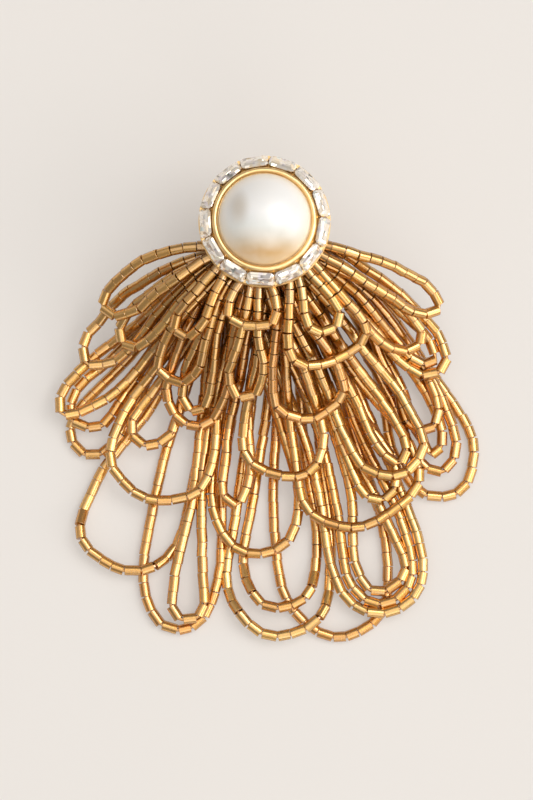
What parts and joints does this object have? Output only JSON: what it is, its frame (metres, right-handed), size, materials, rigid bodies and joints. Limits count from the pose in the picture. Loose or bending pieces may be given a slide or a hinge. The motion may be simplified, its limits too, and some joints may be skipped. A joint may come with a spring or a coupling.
{
  "type": "beaded pearl button earring",
  "caption": "Round button earring with a half pearl in a ring of cut stones and a dense fan of looped gold bead strings, lying face up on its ear post.",
  "frame": {"origin": "free end of the ear post, on the surface that the earring lies on", "axes": "+Z from the back to the face of the button, -Y from the button towards the bead loops, +X to the right as seen from the front"},
  "size_m": [0.0653, 0.0728, 0.0272],
  "materials": {
    "pearl": "satin pearl lustre",
    "gold_metal": "polished, gold plated",
    "crystal": "cut and foiled",
    "backing": "felt",
    "gold_beads": "gold plated cut beads"
  },
  "bodies": {
    "root": {"pearl": "pearl", "setting": "gold_metal", "drum": "backing", "ear_post": "gold_metal", "stone_01": "crystal", "stone_02": "crystal", "stone_03": "crystal", "stone_04": "crystal", "stone_05": "crystal", "stone_06": "crystal", "stone_07": "crystal", "stone_08": "crystal", "stone_09": "crystal", "stone_10": "crystal", "stone_11": "crystal", "stone_12": "crystal", "stone_13": "crystal", "loop_01": "gold_beads", "loop_02": "gold_beads", "loop_03": "gold_beads", "loop_04": "gold_beads", "loop_05": "gold_beads", "loop_06": "gold_beads", "loop_07": "gold_beads", "loop_08": "gold_beads", "loop_09": "gold_beads", "loop_10": "gold_beads", "loop_11": "gold_beads", "loop_12": "gold_beads", "loop_13": "gold_beads", "loop_14": "gold_beads", "loop_15": "gold_beads", "loop_16": "gold_beads", "loop_17": "gold_beads", "loop_18": "gold_beads", "loop_19": "gold_beads", "loop_20": "gold_beads", "loop_21": "gold_beads", "loop_22": "gold_beads", "loop_23": "gold_beads", "loop_24": "gold_beads", "loop_25": "gold_beads", "loop_26": "gold_beads", "loop_27": "gold_beads", "loop_28": "gold_beads", "loop_29": "gold_beads", "loop_30": "gold_beads", "loop_31": "gold_beads", "loop_32": "gold_beads", "loop_33": "gold_beads", "loop_34": "gold_beads", "loop_35": "gold_beads", "loop_36": "gold_beads", "loop_37": "gold_beads", "loop_38": "gold_beads", "loop_39": "gold_beads", "loop_40": "gold_beads", "loop_41": "gold_beads"}
  },
  "joints": []
}
